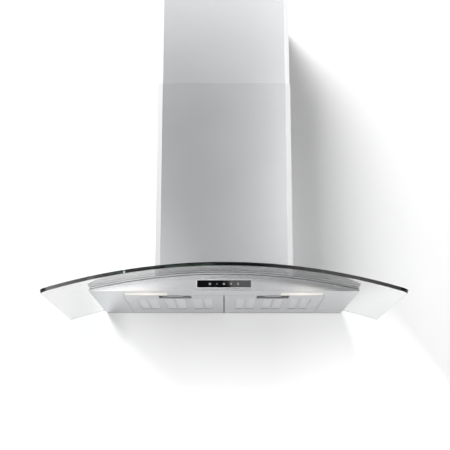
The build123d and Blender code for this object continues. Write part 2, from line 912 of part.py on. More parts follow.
def make_scroll_half(side_name):
    """Half of the moulded scroll, open at the middle, with a flared inlet on its cheek."""
    side = sides[side_name]
    with BuildPart() as half:
        with BuildSketch(fan_plane):
            add(outer_volute)
        extrude(amount=side * scroll_width / 2)
        with BuildSketch(fan_plane):
            add(inner_volute)
        extrude(amount=side * (scroll_width / 2 - scroll_wall), mode=Mode.SUBTRACT)
        with BuildSketch(fan_plane):
            Circle(inlet_radius)
        extrude(amount=side * scroll_width / 2, mode=Mode.SUBTRACT)
        with BuildSketch(fan_plane.offset(side * scroll_width / 2)):
            Circle(inlet_radius + inlet_lip)
            Circle(inlet_radius, mode=Mode.SUBTRACT)
        extrude(amount=side * inlet_lip)
        lip_rims = half.edges().filter_by(GeomType.CIRCLE).group_by(Axis.X)[-1 if side > 0 else 0]
        chamfer(lip_rims.sort_by(SortBy.LENGTH)[0], inlet_lip - inlet_rim)
    save(f"scroll_half_{side_name}", half)


for side_name in sides:
    make_scroll_half(side_name)

# ---------------------------------------------------------------- impeller and motor

# Squirrel-cage wheel: blades folded forward at mid depth, across a web, with a ring at each end
blade_fold = [
    (0, impeller_radius - blade_ring_depth),
    (-blade_hook, impeller_radius - blade_ring_depth / 2),
    (blade_hook, impeller_radius - ring_thickness / 2),
]
blade_back = [(x + blade_thickness, y) for x, y in reversed(blade_fold)]
with BuildSketch() as blade:
    with BuildLine():
        Polyline(*blade_fold, *blade_back, close=True)
    make_face()
with BuildPart() as impeller:
    with BuildSketch(fan_plane.offset(ring_thickness - impeller_width / 2)):
        with PolarLocations(0, blade_count):
            add(blade.sketch)
    extrude(amount=impeller_width - 2 * ring_thickness)
    for start in (-impeller_width / 2, impeller_width / 2 - ring_thickness):
        with BuildSketch(fan_plane.offset(start)):
            Circle(impeller_radius)
            Circle(impeller_radius - 2 * ring_thickness, mode=Mode.SUBTRACT)
        extrude(amount=ring_thickness)
    with BuildSketch(fan_plane.offset(-web_thickness / 2)):
        Circle(impeller_radius)
    extrude(amount=web_thickness)
    with BuildSketch(fan_plane.offset(-hub_width / 2)):
        Circle(hub_radius)
    extrude(amount=hub_width)
    with BuildSketch(fan_plane.offset(-hub_width / 2)):
        Circle(shaft_radius + hub_fit)
    extrude(amount=hub_width, mode=Mode.SUBTRACT)
save("impeller", impeller)

motor_end = -web_thickness / 2 - motor_gap
motor_start = motor_end - motor_length
with BuildPart() as motor_shaft:
    with BuildSketch(fan_plane.offset(motor_start - shaft_overhang)):
        Circle(shaft_radius)
    extrude(amount=hub_width / 2 + 2 * shaft_overhang - motor_start)
    chamfer(motor_shaft.edges().filter_by(GeomType.CIRCLE), shaft_chamfer)
save("motor_shaft", motor_shaft)

# Motor can with cooling ribs and a running bore for the shaft
with BuildPart() as motor:
    with BuildSketch(fan_plane.offset(motor_start)):
        Circle(motor_radius)
    extrude(amount=motor_length)
    chamfer(motor.edges().filter_by(GeomType.CIRCLE), motor_rib_width)
    with BuildSketch(fan_plane.offset(motor_start + (motor_length - motor_rib_length) / 2)):
        with PolarLocations(motor_radius, motor_rib_count):
            Rectangle(2 * motor_rib_height, motor_rib_width)
    extrude(amount=motor_rib_length)
    with BuildSketch(fan_plane.offset(motor_start)):
        Circle(shaft_radius + shaft_clearance)
    extrude(amount=motor_length, mode=Mode.SUBTRACT)
save("motor", motor)

# Spider that carries the motor on the left cheek of the scroll
spider_radius = inlet_radius + inlet_lip + spider_foot / 2
with BuildPart() as motor_bracket:
    with BuildSketch(fan_plane.offset(motor_start - spider_plate)):
        Circle(spider_hub_radius)
        with PolarLocations(spider_radius / 2, spider_arms, start_angle=90):
            Rectangle(spider_radius + spider_foot, spider_arm_width)
        Circle(shaft_radius + spider_plate, mode=Mode.SUBTRACT)
    extrude(amount=spider_plate)
    with BuildSketch(fan_plane.offset(motor_start - spider_plate)):
        with PolarLocations(spider_radius + spider_foot / 2, spider_arms, start_angle=90):
            Rectangle(spider_foot, spider_arm_width)
    extrude(amount=spider_plate - motor_start - scroll_width / 2)
save("motor_bracket", motor_bracket)

# ---------------------------------------------------------------- outlet collar and damper

collar_bore_radius = collar_radius - collar_wall
damper_axis = Plane(origin=(0, -outlet_depth, damper_z), x_dir=(1, 0, 0), z_dir=(0, -1, 0))
stop_top = -flap_thickness / 2 - stop_clearance

with BuildPart() as outlet_collar:
    with BuildSketch(at_height(housing_top_z)):
        with Locations((0, -outlet_depth)):
            Circle(collar_radius + collar_flange)
    extrude(amount=collar_flange_thickness)
    with BuildSketch(at_height(housing_top_z)):
        with Locations((0, -outlet_depth)):
            Circle(collar_radius)
    extrude(amount=collar_height)
    with BuildSketch(at_height(housing_top_z)):
        with Locations((0, -outlet_depth)):
            Circle(collar_bore_radius)
    extrude(amount=collar_height, mode=Mode.SUBTRACT)
    # ledge that the shut flaps rest on
    with BuildSketch(at_height(damper_z + stop_top - stop_height)):
        with Locations((0, -outlet_depth)):
            Circle(collar_bore_radius)
            Circle(collar_bore_radius - stop_width, mode=Mode.SUBTRACT)
    extrude(amount=stop_height)
    with BuildSketch(damper_axis.offset(-collar_bore_radius - collar_wall / 2)):
        Circle(axle_radius)
    extrude(amount=2 * collar_bore_radius + collar_wall, mode=Mode.SUBTRACT)
    with BuildSketch(damper_axis.offset(-collar_bore_radius)):
        Circle(axle_radius + knuckle_wall + stop_clearance)
    extrude(amount=2 * collar_bore_radius, mode=Mode.SUBTRACT)
save("outlet_collar", outlet_collar)

with BuildPart() as damper_axle:
    with BuildSketch(damper_axis.offset(-collar_bore_radius - collar_wall / 2)):
        Circle(axle_radius)
    extrude(amount=2 * collar_bore_radius + collar_wall)
save("damper_axle", damper_axle)

knuckle_radius = axle_radius + axle_clearance + knuckle_wall
knuckle_pitch = knuckle_length + knuckle_gap
flap_start = knuckle_radius + knuckle_gap


def make_damper_flap(side_name, knuckle_depths):
    """A half-round flap, level when shut, with the knuckles that turn on the axle."""
    side = sides[side_name]
    with BuildPart() as flap:
        with BuildSketch(at_height(damper_z - flap_thickness / 2)):
            with Locations((0, -outlet_depth)):
                Circle(collar_bore_radius - flap_gap)
            with Locations((side * (flap_start + collar_radius), -outlet_depth)):
                Rectangle(2 * collar_radius, 2 * collar_radius, mode=Mode.INTERSECT)
            for depth in knuckle_depths:
                with Locations((side * (flap_start + knuckle_wall) / 2, -depth)):
                    Rectangle(flap_start + knuckle_wall, knuckle_length)
        extrude(amount=flap_thickness)
        for depth in knuckle_depths:
            with BuildSketch(damper_axis.offset(depth - outlet_depth - knuckle_length / 2)):
                Circle(knuckle_radius)
            extrude(amount=knuckle_length)
        with BuildSketch(damper_axis.offset(-collar_bore_radius)):
            Circle(axle_radius + axle_clearance)
        extrude(amount=2 * collar_bore_radius, mode=Mode.SUBTRACT)
    save(f"damper_flap_{side_name}", flap)


# the two flaps' knuckles alternate along the axle
first_knuckle = outlet_depth - (knuckle_count - 1) / 2 * knuckle_pitch
knuckle_depths = [first_knuckle + step * knuckle_pitch for step in range(knuckle_count)]
make_damper_flap("left", knuckle_depths[0::2])
make_damper_flap("right", knuckle_depths[1::2])

# ---------------------------------------------------------------- electrical parts

electronics_x = housing_half - electronics_side_gap - electronics_width / 2
electronics_front_depth = electronics_rear_depth + electronics_depth
gland_depth = electronics_rear_depth + gland_inset
lid_low = housing_top_z + electronics_height
lid_top = lid_low + lid_thickness

with BuildPart() as electronics_box:
    with BuildSketch(at_height(housing_top_z)):
        depth_rectangle(electronics_width, electronics_rear_depth, electronics_front_depth, electronics_x)
    extrude(amount=electronics_height)
    fillet(electronics_box.edges().filter_by(Axis.Z), 2 * electronics_wall)
    offset(amount=-electronics_wall, openings=electronics_box.faces().sort_by(Axis.Z)[-1])
save("electronics_box", electronics_box)

with BuildPart() as electronics_lid:
    with BuildSketch(at_height(lid_low)) as lid_outline:
        depth_rectangle(electronics_width, electronics_rear_depth, electronics_front_depth, electronics_x)
        fillet(lid_outline.vertices(), 2 * electronics_wall)
    extrude(amount=lid_thickness)
    # skirt that drops inside the box
    with BuildSketch(at_height(lid_low - lid_skirt)) as skirt:
        depth_rectangle(electronics_width, electronics_rear_depth, electronics_front_depth, electronics_x)
        offset(amount=-electronics_wall - gland_hole_gap, kind=Kind.INTERSECTION)
        fillet(skirt.vertices(), electronics_wall)
        offset(amount=-electronics_wall, mode=Mode.SUBTRACT)
    extrude(amount=lid_skirt)
    with BuildSketch(at_height(lid_low)):
        with Locations((electronics_x, -gland_depth)):
            Circle(gland_thread_radius + gland_hole_gap)
    extrude(amount=lid_thickness, mode=Mode.SUBTRACT)
save("electronics_lid", electronics_lid)

# Gland for the mains lead: thread through the lid, hexagon and domed nut, with a clear bore
with BuildPart() as cable_gland:
    with BuildSketch(at_height(lid_top - gland_thread_length)):
        with Locations((electronics_x, -gland_depth)):
            Circle(gland_thread_radius)
    extrude(amount=gland_thread_length)
    with BuildSketch(at_height(lid_top)):
        with Locations((electronics_x, -gland_depth)):
            RegularPolygon(gland_hex_width / 2, 6, major_radius=False)
    extrude(amount=gland_hex_height)
    with BuildSketch(at_height(lid_top + gland_hex_height)):
        with Locations((electronics_x, -gland_depth)):
            Circle(gland_hex_width / 2)
    extrude(amount=gland_dome_height)
    chamfer(cable_gland.edges().filter_by(GeomType.CIRCLE).sort_by(Axis.Z)[-1], gland_dome_chamfer)
    with BuildSketch(at_height(lid_top - gland_thread_length)):
        with Locations((electronics_x, -gland_depth)):
            Circle(gland_bore_radius)
    extrude(amount=gland_thread_length + gland_hex_height + gland_dome_height, mode=Mode.SUBTRACT)
save("cable_gland", cable_gland)

with BuildPart() as capacitor:
    with BuildSketch(at_height(housing_top_z)):
        with Locations((-capacitor_spread, -capacitor_depth)):
            Circle(capacitor_base_radius)
    extrude(amount=capacitor_base_height)
    with BuildSketch(at_height(housing_top_z)):
        with Locations((-capacitor_spread, -capacitor_depth)):
            Circle(capacitor_radius)
    extrude(amount=capacitor_height)
    chamfer(capacitor.edges().filter_by(GeomType.CIRCLE).sort_by(Axis.Z)[-1], capacitor_chamfer)
save("capacitor", capacitor)

# ---------------------------------------------------------------- chimney covers


def chimney_channel(inset):
    """Sketch in plan: a cover's folded sheet, open at the back between two return flanges."""
    slot_width = chimney_width - 2 * (inset + chimney_flange)
    with BuildSketch() as channel:
        add(chimney_outline(inset))
        add(chimney_outline(inset + chimney_sheet), mode=Mode.SUBTRACT)
        depth_rectangle(slot_width, inset, inset + chimney_sheet, mode=Mode.SUBTRACT)
    return channel.sketch


# Lower cover: stands on the glass, so its bottom edge is cut to the arch
with BuildPart() as lower_chimney_cover:
    with BuildSketch(at_height(under)):
        add(chimney_channel(0))
    extrude(amount=lower_cover_top)
    with BuildSketch(at_depth(0)):
        under_arch(under, glass_thickness, chimney_width / 2)
    extrude(amount=chimney_depth, mode=Mode.SUBTRACT)
save("lower_chimney_cover", lower_chimney_cover)

# Upper cover: telescopes inside the lower one, with a screw hole in each side near its top
bracket_low = upper_top_z - bracket_drop - bracket_height
cover_screw_z = bracket_low + bracket_height / 2
cover_screw_plane = Plane(origin=(-chimney_width / 2, -cover_screw_depth, cover_screw_z), z_dir=(1, 0, 0))
with BuildPart() as upper_chimney_cover:
    with BuildSketch(at_height(upper_top_z - upper_cover_length)):
        add(chimney_channel(upper_inset))
    extrude(amount=upper_cover_length)
    with BuildSketch(cover_screw_plane):
        Circle(cover_screw_radius)
    extrude(amount=chimney_width, mode=Mode.SUBTRACT)
save("upper_chimney_cover", upper_chimney_cover)

# Wall bracket inside the upper cover: its arms step out in front of the cover's return flanges
bracket_side = chimney_width / 2 - upper_inset - chimney_sheet - bracket_side_gap
with BuildPart() as chimney_wall_bracket:
    with BuildSketch(at_height(bracket_low)):
        with BuildLine():
            Polyline(
                (bracket_side, -bracket_reach),
                (bracket_side, -bracket_step_depth),
                (bracket_half_width, -bracket_step_depth),
                (bracket_half_width, 0),
                (-bracket_half_width, 0),
                (-bracket_half_width, -bracket_step_depth),
                (-bracket_side, -bracket_step_depth),
                (-bracket_side, -bracket_reach),
            )
            offset(amount=bracket_sheet, side=Side.LEFT, kind=Kind.INTERSECTION, mode=Mode.ADD)
        make_face()
    extrude(amount=bracket_height)
    with BuildSketch(at_depth(0)):
        with Locations((0, cover_screw_z)):
            with GridLocations(bracket_hole_spacing, 0, 2, 1):
                Circle(bracket_hole_radius)
    extrude(amount=bracket_sheet, mode=Mode.SUBTRACT)
    with BuildSketch(cover_screw_plane):
        Circle(cover_screw_radius)
    extrude(amount=chimney_width, mode=Mode.SUBTRACT)
save("chimney_wall_bracket", chimney_wall_bracket)
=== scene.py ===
"""Curved glass range hood: looks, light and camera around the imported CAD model, in metres."""

from math import cos, hypot, pi, radians, sin

import bmesh
import bpy
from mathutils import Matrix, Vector


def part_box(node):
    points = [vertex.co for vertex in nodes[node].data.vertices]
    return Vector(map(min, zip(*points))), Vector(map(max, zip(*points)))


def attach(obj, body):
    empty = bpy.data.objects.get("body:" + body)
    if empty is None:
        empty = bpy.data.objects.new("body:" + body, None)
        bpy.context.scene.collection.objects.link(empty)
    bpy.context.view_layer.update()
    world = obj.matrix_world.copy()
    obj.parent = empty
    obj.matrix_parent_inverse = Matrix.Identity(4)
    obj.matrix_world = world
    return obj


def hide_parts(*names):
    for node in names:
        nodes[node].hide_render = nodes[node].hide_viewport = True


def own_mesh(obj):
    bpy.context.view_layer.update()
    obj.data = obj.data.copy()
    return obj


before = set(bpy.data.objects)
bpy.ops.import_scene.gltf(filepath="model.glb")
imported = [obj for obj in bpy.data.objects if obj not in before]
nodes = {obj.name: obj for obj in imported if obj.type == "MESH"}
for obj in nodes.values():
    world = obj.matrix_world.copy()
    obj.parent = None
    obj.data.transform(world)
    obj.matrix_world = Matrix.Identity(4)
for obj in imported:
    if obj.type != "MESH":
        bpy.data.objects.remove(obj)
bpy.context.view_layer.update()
scene = bpy.context.scene


# ------------------------------------------------ node helpers

MIX_COLOURS = (6, 7)  # the Mix node's inputs for two colours
MIX_RESULT = 2  # and its output for the blended one


class Nodes:
    """A node tree, with short calls for the nodes used here."""

    def __init__(self, tree, output, place):
        self.tree = tree
        self.tree.nodes.clear()
        self.output = self.new(output)
        self.coordinates = self.new("TexCoord").outputs
        self.place = self.coordinates[place]

    def new(self, kind, **inputs):
        """A new node; its inputs are named with _ for a space."""
        node = self.tree.nodes.new("ShaderNode" + kind)
        for name, value in inputs.items():
            self.put(value, node.inputs[name.replace("_", " ")])
        return node

    def put(self, value, socket):
        """Link an output to a socket, or set the socket to a value."""
        if isinstance(value, bpy.types.NodeSocket):
            self.tree.links.new(value, socket)
        elif socket.type == "RGBA":
            socket.default_value = (*value, 1.0)
        else:
            socket.default_value = value

    def noise(self, scale, detail=3.0, rough=0.55, stretch=(1, 1, 1)):
        """Noise with `scale` features to the metre, drawn out along an axis of small stretch."""
        mapping = self.new("Mapping", Vector=self.place, Scale=stretch)
        texture = self.new(
            "TexNoise", Vector=mapping.outputs[0], Scale=scale, Detail=detail, Roughness=rough
        )
        return texture.outputs["Fac"]

    def span(self, factor, low, high, start=0.3, end=0.7):
        """From low to high as factor goes from start to end, and no further."""
        node = self.new(
            "MapRange", Value=factor, From_Min=start, From_Max=end, To_Min=low, To_Max=high
        )
        return node.outputs["Result"]

    def ramps(self, parts, ramps):
        """The product of ramps, each of them (the part it runs over, its values, their places)."""
        found = None
        for part, values, places in ramps:
            ramp = self.span(parts[part], *values, *places)
            found = self.math("MULTIPLY", found, ramp) if found else ramp
        return found

    def math(self, operation, a, b=0.0, c=0.0):
        node = self.new("Math")
        node.operation = operation
        for value, socket in zip((a, b, c), node.inputs):
            self.put(value, socket)
        return node.outputs[0]

    def total(self, terms):
        """The sum of the terms."""
        found, *others = terms
        for term in others:
            found = self.math("ADD", found, term)
        return found

    def blend(self, factor, a, b):
        """Colour a where factor is 0 and b where it is 1."""
        node = self.new("Mix", Factor=factor)
        node.data_type = "RGBA"
        for value, index in zip((a, b), MIX_COLOURS):
            self.put(value, node.inputs[index])
        return node.outputs[MIX_RESULT]

    def mix(self, factor, a, b):
        """Shader a where factor is 0 and b where it is 1."""
        node = self.new("MixShader")
        for value, socket in zip((factor, a, b), node.inputs):
            self.put(value, socket)
        return node.outputs[0]

    def axes(self, vector=None):
        """The X, Y and Z outputs of a vector, the object's own place if none is given."""
        return self.new("SeparateXYZ", Vector=vector or self.place).outputs

    def path(self, *rays):
        """1 for any of the named kinds of ray."""
        outputs = self.new("LightPath").outputs
        found = outputs[f"Is {rays[0]} Ray"]
        for ray in rays[1:]:
            found = self.math("MAXIMUM", found, outputs[f"Is {ray} Ray"])
        return found


class Shader(Nodes):
    """A material with one Principled shader."""

    def __init__(self, name):
        self.material = bpy.data.materials.new(name)
        self.material.use_nodes = True
        super().__init__(self.material.node_tree, "OutputMaterial", "Object")
        self.principled = self.new("BsdfPrincipled")
        self.surface(self.principled.outputs[0])

    def surface(self, shader):
        self.put(shader, self.output.inputs["Surface"])

    def set(self, **values):
        for name, value in values.items():
            socket = name.replace("_", " ").title().replace("Ior", "IOR")
            self.put(value, self.principled.inputs[socket])

    def bump(self, height, distance):
        node = self.new("Bump", Height=height, Distance=distance)
        self.set(normal=node.outputs[0])


def around(colour, share):
    """The colour made darker and lighter by a share of itself."""
    return [tuple(min(1.0, c * scale) for c in colour) for scale in (1 - share, 1 + share)]


# ------------------------------------------------ materials

BRUSH_SCALE = 2600.0
BRUSH_STRETCH = (0.02, 1.0, 1.0)  # brush marks run along X
BRUSH_SHADES = 0.2  # from the colour to its lightest and darkest
CLOUD_SCALE = 7.0
UNEVEN = 0.01  # how far clouds shift the tone, and marks the roughness
GRAIN_SHADES = 0.15
GRAIN_UNEVEN = 0.04

LAMP_X = (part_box("lamp_lens_right")[0].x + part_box("lamp_lens_right")[1].x) / 2
LAMP_Y = -0.40
LAMP_Z = -0.198
# Warm glow of the lamps, painted as emission on the steel around them
PAINTED_HALO_REACH = 0.075
PAINTED_HALO_FLATNESS = 3.0  # the painted glow of the lamps reaches less far up and down
PAINTED_HALO_COLOUR = (1.0, 0.86, 0.66)

STEEL = (0.62, 0.625, 0.64)
# Darker copies of the steel: painted shade on the lower chimney cover and on the underside
SHADED_LOWER_STEEL = tuple(c * 0.93 for c in STEEL)
SHADED_UNDER_STEEL = tuple(c * 0.85 for c in STEEL)
DEEP_STEEL = (0.565, 0.57, 0.58)

LENS_GLOW = (0.48, 0.28)  # in the middle and at the ends
LENS_END = 0.05  # from the middle

GLASS_IOR = 1.5
GLASS_FACE = (0.737, 0.722, 0.726)
GREEN_EDGE = (0.66, 0.80, 0.69)
# near black painted shade on the right part of the glass's front edge
PAINTED_SHADE_EDGE = (0.05, 0.06, 0.055)
PAINTED_SHADE_CHANGE = (-0.035, -0.015)  # where along X the front edge goes from green to the near black of painted shade
FRONT_NORMAL = -0.8  # Y of a normal: only the plate's front edge is below this

MESH_SHORT = 0.0032  # a diamond of the expanded mesh, across the window
MESH_LONG = 0.0060  # and along the window


def painted_lamp_halo(s):
    """Strength of the glow painted around the lamps at a place, from 1 at a lamp to 0 out of its
    reach.
    """
    place = s.axes()
    offsets = (
        s.math("SUBTRACT", s.math("ABSOLUTE", place["X"]), LAMP_X),
        s.math("SUBTRACT", place["Y"], LAMP_Y),
        s.math("MULTIPLY", s.math("SUBTRACT", place["Z"], LAMP_Z), PAINTED_HALO_FLATNESS),
    )
    squares = s.total(s.math("MULTIPLY", offset, offset) for offset in offsets)
    near = s.span(s.math("SQRT", squares), 1.0, 0.0, 0.0, PAINTED_HALO_REACH)
    return s.math("MULTIPLY", near, near)


def brushed(name, colour, roughness, tone=0.05, bump=0.0000015, across=None, painted_halo=0.0):
    """Metal with fine brush marks and a faint broad cloudiness.

    tone is how far the marks differ in tone, and across the direction that highlights spread in.
    The last argument sets how strongly the lamps' glow is painted as emission on the metal next to
    them."""
    s = Shader(name)
    lines = s.noise(BRUSH_SCALE, detail=4.0, rough=0.7, stretch=BRUSH_STRETCH)
    cloud = s.noise(CLOUD_SCALE, detail=2.0)
    shade = s.math("ADD", s.span(lines, -tone, tone), s.span(cloud, -UNEVEN, UNEVEN))
    s.set(
        base_color=s.blend(s.math("ADD", shade, 0.5), *around(colour, BRUSH_SHADES)),
        metallic=1.0,
        roughness=s.math(
            "ADD",
            s.span(lines, -UNEVEN, UNEVEN),
            s.span(cloud, roughness - UNEVEN / 2, roughness + UNEVEN / 2),
        ),
    )
    s.bump(lines, bump)
    if across:
        direction = s.new("CombineXYZ", **dict(zip("XYZ", across)))
        s.set(tangent=direction.outputs[0], anisotropic=0.5)
    # glow of the lamps painted as emission on the metal near them
    if painted_halo:
        s.set(
            emission_color=PAINTED_HALO_COLOUR,
            emission_strength=s.math("MULTIPLY", painted_lamp_halo(s), painted_halo),
        )
    return s.material


def plain(name, colour, roughness, metallic=0.0, speckle=0.2, scale=600.0, bump=0.00002):
    """Moulded, cast or plated surface: even colour with a fine speckle and grain."""
    s = Shader(name)
    grain = s.noise(scale, detail=2.0)
    shade = s.span(grain, 0.5 - speckle, 0.5 + speckle)
    s.set(
        base_color=s.blend(shade, *around(colour, GRAIN_SHADES)),
        metallic=metallic,
        roughness=s.span(grain, roughness - GRAIN_UNEVEN, roughness + GRAIN_UNEVEN),
    )
    s.bump(grain, bump)
    return s.material


def make_galvanised():
    """Zinc coat with crystals a centimetre wide."""
    s = Shader("galvanised")
    crystals = s.new("TexVoronoi", Vector=s.place, Scale=90.0)
    spangle = s.axes(crystals.outputs["Color"])["X"]
    fine = s.noise(500.0)
    s.set(
        base_color=s.blend(spangle, (0.60, 0.62, 0.64), (0.68, 0.70, 0.72)),
        metallic=1.0,
        roughness=s.math("ADD", s.span(spangle, 0.0, 0.08, 0, 1), s.span(fine, 0.38, 0.44)),
    )
    s.bump(fine, 0.000003)
    return s.material


def make_glass():
    """Clear float glass that lets the lamps' light through and is green in its depth.

    Its front edge goes from its own green on the left to near black on the right, which is painted
    shade."""
    s = Shader("glass")
    facing_y = s.axes(s.coordinates["Normal"])["Y"]
    # front edge: the glass's own green on the left, painted shade near black on the right
    edge_colour_and_shade = s.blend(s.span(s.axes()["X"], 0.0, 1.0, *PAINTED_SHADE_CHANGE), GREEN_EDGE, PAINTED_SHADE_EDGE)
    s.set(
        base_color=s.blend(s.math("LESS_THAN", facing_y, FRONT_NORMAL), GLASS_FACE, edge_colour_and_shade),
        roughness=0.0,
        transmission_weight=1.0,
        ior=GLASS_IOR,
    )
    passing = s.new("BsdfTransparent", Color=(0.95, 0.965, 0.96))
    s.surface(s.mix(s.path("Shadow", "Diffuse"), s.principled.outputs[0], passing.outputs[0]))
    depth = s.new("VolumeAbsorption", Color=(0.28, 0.60, 0.46), Density=3.2)
    s.put(depth.outputs[0], s.output.inputs["Volume"])
    return s.material


def make_lens():
    """Frosted lamp cover, lit warm from behind and strongest in the middle."""
    s = Shader("lamp_lens")
    frost = s.noise(1200.0, detail=2.0)
    aside = s.math("SUBTRACT", s.math("ABSOLUTE", s.axes()["X"]), LAMP_X)
    s.set(
        base_color=s.blend(frost, (0.80, 0.78, 0.74), (0.88, 0.86, 0.82)),
        roughness=s.span(frost, 0.30, 0.42),
        emission_color=(1.0, 0.95, 0.84),
        emission_strength=s.span(s.math("ABSOLUTE", aside), *LENS_GLOW, 0.0, LENS_END),
    )
    s.bump(frost, 0.00002)
    return s.material


def make_board():
    """Green solder mask with paler tracks."""
    s = Shader("circuit_board")
    tracks = s.new("TexBrick", Vector=s.place, Scale=160.0, Mortar_Size=0.03)
    weave = s.noise(900.0)
    s.set(
        base_color=s.blend(tracks.outputs["Fac"], (0.02, 0.16, 0.06), (0.06, 0.30, 0.12)),
        roughness=s.span(weave, 0.30, 0.45),
    )
    s.bump(tracks.outputs["Fac"], 0.00003)
    return s.material


def make_mesh():
    """Pressed aluminium mesh: small open diamonds with bright strands."""
    s = Shader("mesh_aluminium")
    place = s.axes()
    diagonals = [s.math(operation, place["X"], place["Y"]) for operation in ("ADD", "SUBTRACT")]
    waves = [s.math("SINE", s.math("MULTIPLY", way, 2 * pi / MESH_SHORT)) for way in diagonals]
    wave = s.math("MULTIPLY", *waves)
    s.set(
        base_color=s.blend(
            s.span(wave, 0.0, 1.0, -0.5, 0.5), (0.78, 0.78, 0.80), (0.86, 0.86, 0.88)
        ),
        metallic=1.0,
        roughness=s.span(wave, 0.46, 0.36, -0.5, 0.5),
    )
    s.bump(wave, 0.0004)
    return s.material


def make_black_glass():
    s = Shader("black_glass")
    film = s.noise(30.0)
    s.set(
        base_color=s.blend(film, (0.002, 0.002, 0.0025), (0.004, 0.004, 0.005)),
        roughness=s.span(film, 0.02, 0.035),
        ior=GLASS_IOR,
    )
    return s.material


def make_print():
    """Pale ink of the icons, with a faint light behind it."""
    s = Shader("icon_print")
    speckle = s.noise(2500.0)
    s.set(
        base_color=s.blend(speckle, (0.60, 0.61, 0.63), (0.70, 0.71, 0.73)),
        roughness=s.span(speckle, 0.4, 0.5),
        emission_color=(0.9, 0.95, 1.0),
        emission_strength=0.14,
    )
    return s.material


UPRIGHT, LEVEL, LEANING = (0, 0, 1), (0, 1, 0), (0, 0.8, 1)  # across the brush marks of a face
CHIMNEY = dict(roughness=0.22, tone=0.02, bump=0.0000001, across=UPRIGHT)
BODY = dict(tone=0.02, bump=0.0000004)
SMOOTH = dict(metallic=1.0, speckle=0.1, scale=900.0, bump=0.000004)

LOOKS = {
    # Body, underside and fascia steel: the lamps' glow is painted on as emission near the lamps
    "stainless": brushed("stainless", DEEP_STEEL, 0.28, across=LEANING, painted_halo=0.30, **BODY),
    "chimney_stainless": brushed("chimney_stainless", STEEL, **CHIMNEY),
    "galvanised": make_galvanised(),
    "glass": make_glass(),
    "rubber": plain("rubber", (0.03, 0.03, 0.032), 0.75),
    "polished_steel": plain("polished_steel", (0.80, 0.80, 0.81), 0.12, **SMOOTH),
    "zinc_fastener": plain("zinc_fastener", (0.62, 0.63, 0.65), 0.34, metallic=1.0),
    "nylon": plain("nylon", (0.80, 0.80, 0.77), 0.5),
    "black_glass": make_black_glass(),
    "aluminium": brushed("aluminium", (0.78, 0.78, 0.79), 0.34),
    "mesh_aluminium": make_mesh(),
    "circuit_board": make_board(),
    "lamp_lens": make_lens(),
    "black_plastic": plain("black_plastic", (0.022, 0.022, 0.024), 0.45),
    "grey_plastic": plain("grey_plastic", (0.28, 0.28, 0.29), 0.5),
    "white_plastic": plain("white_plastic", (0.78, 0.78, 0.76), 0.45),
    "spring_steel": brushed("spring_steel", (0.55, 0.55, 0.57), 0.3),
}

# Nodes whose finish differs from the rest of their slot. The darker steel of the lower cover and
# the underside is painted shade.
SPECIAL = {
    "lower_chimney_cover": brushed("lower_cover_shaded_stainless", SHADED_LOWER_STEEL, **CHIMNEY),
    **dict.fromkeys(
        ("base_plate", "filter_frame_left", "filter_frame_right"),
        brushed("underside_shaded_stainless", SHADED_UNDER_STEEL, 0.28, across=LEVEL, painted_halo=0.16, **BODY),
    ),
    "front_fascia": brushed(
        "fascia_stainless", DEEP_STEEL, 0.23, across=LEANING, painted_halo=0.16, **BODY
    ),
    "control_bezel": plain("bezel_metal", (0.50, 0.50, 0.51), 0.34, **SMOOTH),
}
for node in nodes.values():
    slot = node.data.materials[0].name.split(".")[0]
    for holder in node.material_slots:
        holder.link = "OBJECT"
        holder.material = SPECIAL.get(node.name, LOOKS[slot])


# ------------------------------------------------ broken edges of the CAD pieces

BEVEL_SEGMENTS = 2
BEVEL_ANGLE = radians(50)
BEVELS = {
    "glass_canopy": 0.0008,
    "front_fascia": 0.0004,
    "canopy_shell": 0.0003,
    "lower_chimney_cover": 0.0007,
    "upper_chimney_cover": 0.0003,
    "base_plate": 0.0003,
    "control_bezel": 0.0002,
}
for name, width in BEVELS.items():
    bevel = nodes[name].modifiers.new("arris", "BEVEL")
    bevel.width = width
    bevel.segments = BEVEL_SEGMENTS
    bevel.limit_method = "ANGLE"
    bevel.angle_limit = BEVEL_ANGLE
    bevel.harden_normals = True


# ------------------------------------------------ new pieces

def piece(name, body, slot, material, build, *details):
    """A new object on a body, whose mesh is made by build(mesh, *details)."""
    mesh = bmesh.new()
    build(mesh, *details)
    data = bpy.data.meshes.new(name)
    mesh.to_mesh(data)
    mesh.free()
    obj = bpy.data.objects.new(name, data)
    scene.collection.objects.link(obj)
    data.materials.append(material)
    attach(obj, body)
    return obj


# Control icons
control_low, control_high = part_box("control_glass")
ICON_PITCH = 0.0177
ICON_REACH = 0.0022  # from an icon's middle
LINE = 0.0007
THIN_LINE = 0.8 * LINE
PRINT_THICKNESS = 0.00004


def arc(radius, start, end, rise=0.0, steps=16):
    """Points (x, z) on a circle about (0, rise), from one angle in degrees to the other."""
    angles = (radians(start + (end - start) * i / steps) for i in range(steps + 1))
    return [(radius * cos(angle), rise + radius * sin(angle)) for angle in angles]


def bar(half, z=0.0):
    """The two ends of a level line, by half its length."""
    return [(-half, z), (half, z)]


# Strokes of each icon, from left to right: points (x, z) from its middle, line width, closed
ICONS = {
    "timer": (
        (arc(ICON_REACH, 0, 345, steps=20), LINE, True),
        ([(0, 0.0014), (0, 0), (0.001, 0)], THIN_LINE),
    ),
    "slower": ((bar(ICON_REACH),),),
    "power": ((arc(0.0021, 120, 420),), ([(0, 0.0004), (0, 0.0028)],)),
    "faster": (
        (bar(ICON_REACH),),
        ([(0, -LINE / 2), (0, -ICON_REACH)],),
        ([(0, LINE / 2), (0, ICON_REACH)],),
    ),
    "light": (
        (arc(0.0016, -55, 235, rise=0.0005),),
        (bar(0.0009, -0.0016),),
        (bar(0.0006, -0.0026),),
    ),
}


